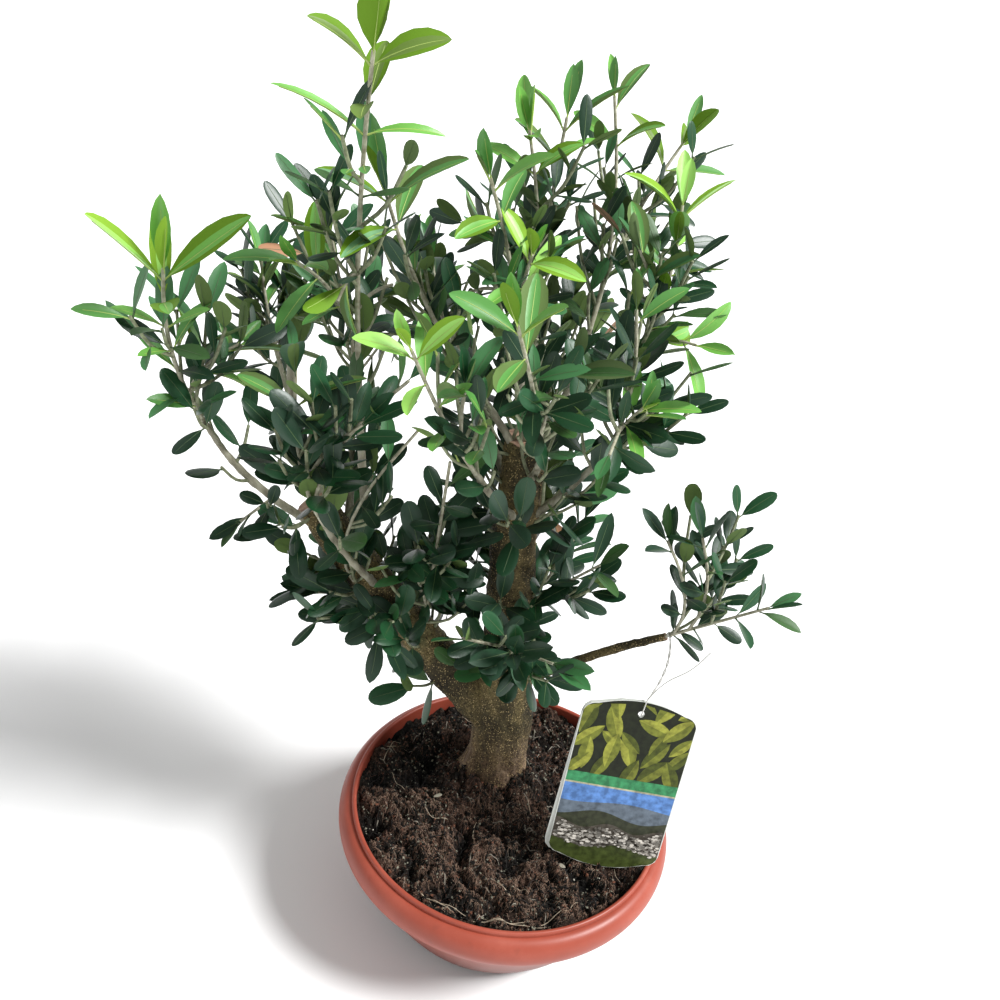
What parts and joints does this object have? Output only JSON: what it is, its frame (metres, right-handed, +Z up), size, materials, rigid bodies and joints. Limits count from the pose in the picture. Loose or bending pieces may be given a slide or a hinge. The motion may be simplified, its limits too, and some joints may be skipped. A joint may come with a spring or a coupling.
{
  "type": "potted olive bonsai",
  "caption": "Young olive tree shaped as a bonsai, with a leaning sawn trunk, a thick left limb and upright leafy shoots, in peat in a round bowl with a rolled rim; a picture card hangs from it.",
  "frame": {"origin": "middle of the bowl's flat underside", "axes": "+Z up, along the bowl's axis; -Y is the front that the picture card faces; +X to the right seen from the front"},
  "size_m": [0.5035, 0.359, 0.7082],
  "materials": {
    "terracotta_plastic": "moulded, slight sheen",
    "peat": "loose and fibrous",
    "bark": "rough grey-brown bark",
    "young_bark": "smooth grey-green bark",
    "foliage": "leathery, satin",
    "card": "printed, slight sheen",
    "cord": "thin cord"
  },
  "bodies": {
    "root": {"pot": "terracotta_plastic", "soil": "peat", "trunk": "bark", "limb_left": "bark", "branch_right_low": "young_bark", "stub_left": "young_bark", "bough_far_left": "young_bark", "bough_left_mid": "young_bark", "bough_left_front": "young_bark", "bough_left_back": "young_bark", "bough_leader": "young_bark", "bough_front_left": "young_bark", "bough_front": "young_bark", "bough_centre_left": "young_bark", "bough_centre": "young_bark", "bough_back": "young_bark", "bough_right_back": "young_bark", "bough_right": "young_bark", "bough_right_front": "young_bark", "bough_back_low": "young_bark", "bough_back_left": "young_bark", "foliage_far_left": "foliage", "foliage_left_side": "foliage", "foliage_left_mid": "foliage", "foliage_left_front": "foliage", "foliage_left_back": "foliage", "foliage_leader": "foliage", "foliage_front_left": "foliage", "foliage_front": "foliage", "foliage_centre_left": "foliage", "foliage_centre": "foliage", "foliage_back": "foliage", "foliage_right_back": "foliage", "foliage_right": "foliage", "foliage_right_front": "foliage", "foliage_back_low": "foliage", "foliage_back_left": "foliage", "foliage_right_low": "foliage", "foliage_low_left": "foliage", "foliage_fork": "foliage", "foliage_low_front": "foliage", "foliage_low_right": "foliage", "foliage_low_back": "foliage", "label_card": "card", "label_back": "card", "label_tie": "cord"}
  },
  "joints": []
}
